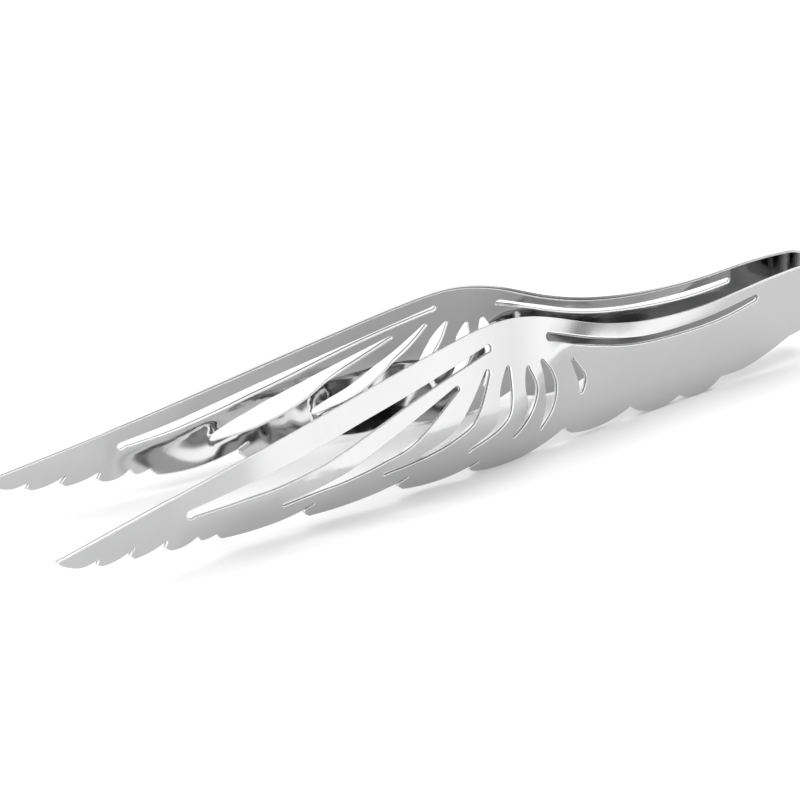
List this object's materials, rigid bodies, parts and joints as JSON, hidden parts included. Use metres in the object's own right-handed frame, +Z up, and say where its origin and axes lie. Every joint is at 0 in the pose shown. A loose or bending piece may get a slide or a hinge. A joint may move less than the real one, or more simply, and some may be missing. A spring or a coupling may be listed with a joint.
{
  "type": "ice tongs",
  "caption": "One-piece sprung sheet-steel ice tongs whose two arms are pressed and pierced like feathered wings, joined by a narrow U bow.",
  "frame": {"origin": "centre of the tongs' bounding box in X and Y, on the surface that their lower edges rest on", "axes": "+X from the wing tips to the spring bow, +Z up with the tongs lying on their lower edges, Y = 0 the plane of symmetry, right arm at +Y"},
  "size_m": [0.1856, 0.0356, 0.0312],
  "materials": {
    "sheet": "finely brushed outside, bright inside"
  },
  "bodies": {
    "bow": {"spring_bow": "sheet"},
    "right_arm": {"right_arm": "sheet"},
    "left_arm": {"left_arm": "sheet"}
  },
  "joints": [
    {"name": "right_arm_squeeze", "type": "hinge", "parent": "bow", "child": "right_arm", "pos_m": [0.0847, 0.00405, 0.0146], "axis": [0, 0, 1], "range_deg": [0, 5.2], "stiffness_Nm_per_rad": 3.4},
    {"name": "left_arm_squeeze", "type": "hinge", "parent": "bow", "child": "left_arm", "pos_m": [0.0847, -0.00405, 0.0146], "axis": [0, 0, -1], "range_deg": [0, 5.2], "stiffness_Nm_per_rad": 3.4}
  ],
  "couplings": [
    {"joint": "left_arm_squeeze", "follows": "right_arm_squeeze", "ratio": 1}
  ]
}
